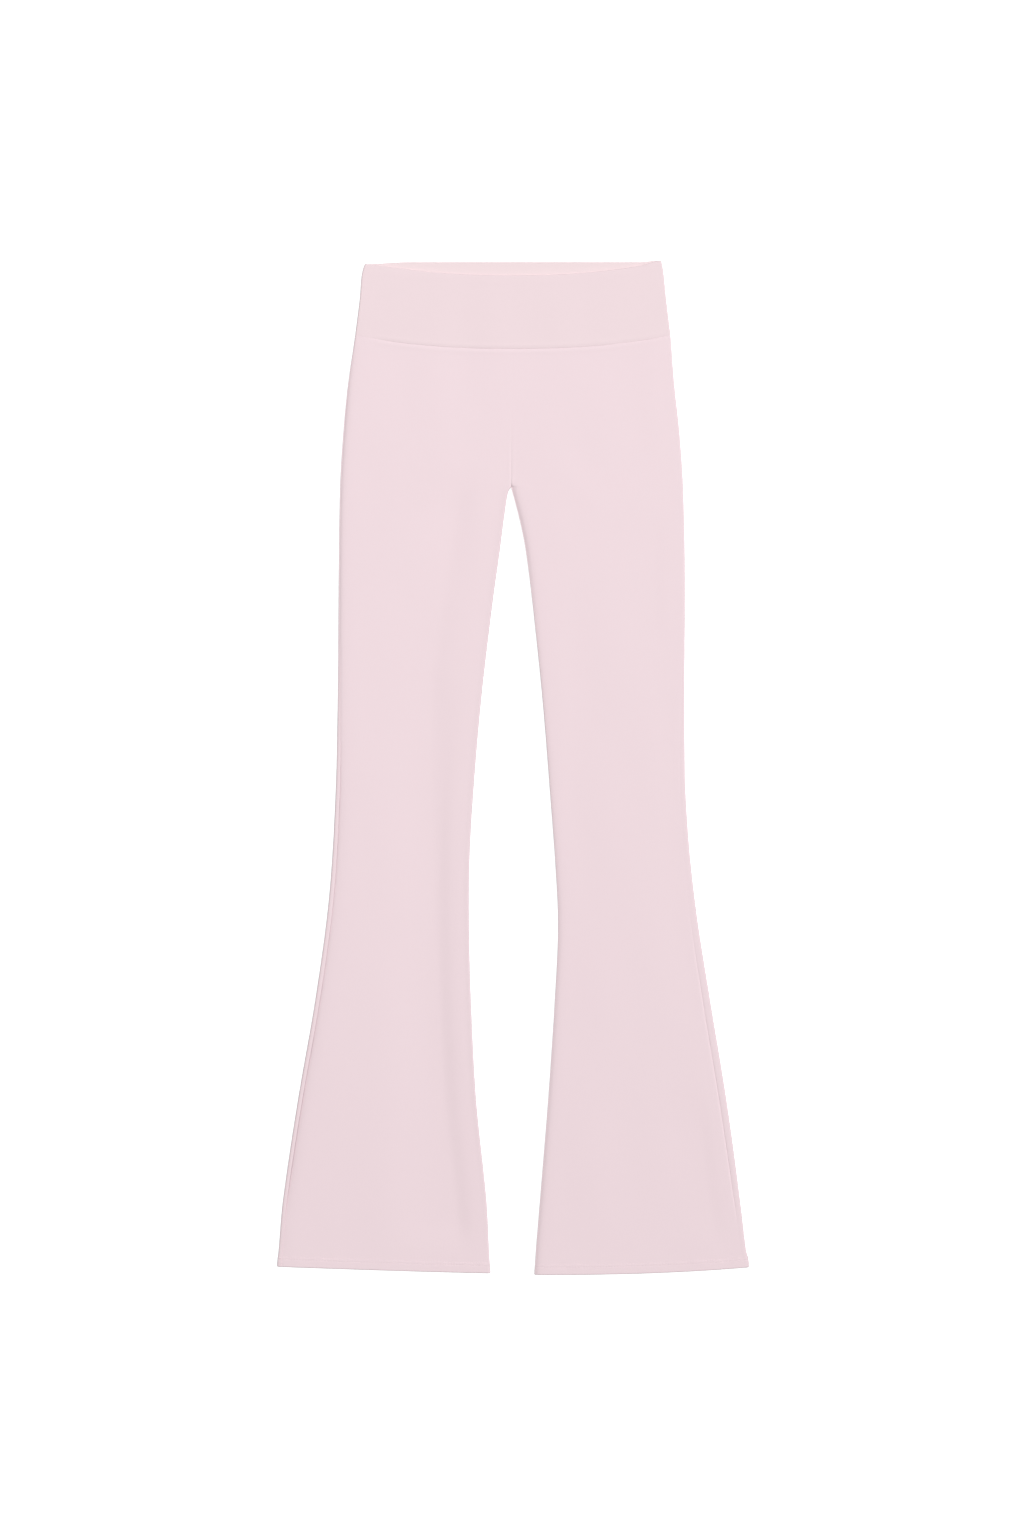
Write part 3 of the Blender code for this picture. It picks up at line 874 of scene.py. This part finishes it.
def addPiece(name, mesh, material):
    mesh.materials.append(material)
    piece = bpy.data.objects.new(name, mesh)
    bpy.context.scene.collection.objects.link(piece)
    return piece


def fitReport(panel, node):
    low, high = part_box(node)
    flat = panel.points.reshape(-1, 3) * mm
    apart = [max(abs(flat[:, k].min() - low[k]), abs(flat[:, k].max() - high[k])) / mm for k in range(3)]
    print(f"{panel.name}: within {max(apart):.1f} mm of {node}")


legJersey = jerseyMaterial("legJersey", jersey["leg"])
bandJersey = jerseyMaterial("bandJersey", jersey["band"])
insideJersey = jerseyMaterial("bandInside", jersey["inside"], sideways=True)
threadFinish = threadMaterial()
print("materials ready")


def declare(piece, node, panel):
    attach(piece, "root")
    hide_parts(node)
    panel.length() * mm
    panel.area() * mm * mm
    fitReport(panel, node)


for side in (-1, 1):
    face = "front" if side > 0 else "back"
    panel, wall = waistbandPanel(side)
    finish = bandJersey if side > 0 else insideJersey
    piece = addPiece(panel.name, clothMesh(panel, wall, True, False), finish)
    declare(piece, f"waistband_{face}", panel)
    for which in ways:
        panel, wall = legPanel(side, which)
        piece = addPiece(panel.name, clothMesh(panel, wall, False, True), legJersey)
        toHem = hemDrop(which, panel.points[..., 0]) - (cut["length"] / 2 - panel.points[..., 1])
        rows = [stitchRow(panel, toHem, row) for row in legShape["stitchRows"]]
        sewn = addPiece(f"{face}HemStitches_{which}", stitches(panel.name + "Stitches", rows), threadFinish)
        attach(sewn, "root")
        declare(piece, f"{face}_leg_{which}", panel)
print("cloth ready")


studio = {  # places and sizes are metres here
    "floor": (0.6, 0.6, 0.6, 1.0),
    "floorRoughness": 0.9,
    "floorSpecular": 0.1,
    "floorGlow": 0.85,
    "floorSize": 80.0,
    "floorDepth": 0.0003,  # of its surface below the cloth
    "sky": 0.14,
    "sun": 2.05,
    "sunTilt": (29.0, 10.0),  # from above towards the left side of the garment, and towards the waist
    "sunSpread": 40.0,
    "panel": 86.0,
    "panelPlace": (0.1, 1.7, 4.2),
    "panelSize": 2.4,
}


def floorMaterial():
    material, tree, shader = newMaterial("paleFloor")
    shader.inputs["Base Color"].default_value = studio["floor"]
    shader.inputs["Roughness"].default_value = studio["floorRoughness"]
    shader.inputs["Specular IOR Level"].default_value = studio["floorSpecular"]
    shader.inputs["Emission Color"].default_value = (1.0, 1.0, 1.0, 1.0)
    shader.inputs["Emission Strength"].default_value = studio["floorGlow"]
    return material


def makeStudio():
    mesh = bpy.data.meshes.new("floor")
    half = studio["floorSize"] / 2
    below = -studio["floorDepth"]
    corners = [(-half, -half, below), (half, -half, below), (half, half, below), (-half, half, below)]
    mesh.from_pydata(corners, [], [(0, 1, 2, 3)])
    floor = addPiece("floor", mesh, floorMaterial())
    floor.visible_diffuse = False  # a white floor would light the rolled edges from below

    world = bpy.data.worlds.new("softRoom")
    bpy.context.scene.world = world
    world.use_nodes = True
    backdrop = world.node_tree.nodes["Background"]
    backdrop.inputs["Color"].default_value = (1.0, 1.0, 1.0, 1.0)
    backdrop.inputs["Strength"].default_value = studio["sky"]

    sunData = bpy.data.lights.new("sideLight", "SUN")
    sunData.energy = studio["sun"]
    sunData.angle = math.radians(studio["sunSpread"])
    sun = bpy.data.objects.new("sideLight", sunData)
    aside, ahead = (math.radians(a) for a in studio["sunTilt"])
    sun.rotation_euler = (-ahead, aside, 0.0)
    bpy.context.scene.collection.objects.link(sun)

    panelData = bpy.data.lights.new("waistLight", "AREA")
    panelData.energy = studio["panel"]
    panelData.shape = "SQUARE"
    panelData.size = studio["panelSize"]
    panel = bpy.data.objects.new("waistLight", panelData)
    panel.location = studio["panelPlace"]
    px, py, pz = studio["panelPlace"]
    panel.rotation_euler = (-math.atan2(py, pz), math.atan2(px, pz), 0.0)
    bpy.context.scene.collection.objects.link(panel)
    bpy.context.scene.view_settings.view_transform = "Standard"


view = {
    "pixelSize": 1.07,  # of the 1024 x 1536 picture, at the cloth
    "pictureHeight": 1536,
    "lens": 70.0,
    "sensor": 36.0,
    "middle": (-1.07, 0.27),
    "aimLevel": 2.8,  # the height at which the outline is seen
    "farthest": 100.0,  # metres
}


def makeCamera():
    data = bpy.data.cameras.new("camera")
    data.sensor_width = view["sensor"]
    data.lens = view["lens"]
    camera = bpy.data.objects.new("camera", data)
    tall = view["pixelSize"] * view["pictureHeight"]
    height = tall * view["lens"] / view["sensor"] + view["aimLevel"]
    camera.location = (view["middle"][0] * mm, view["middle"][1] * mm, height * mm)
    data.clip_end = view["farthest"]
    bpy.context.scene.collection.objects.link(camera)
    bpy.context.scene.camera = camera


makeStudio()
makeCamera()
print("studio and camera ready")
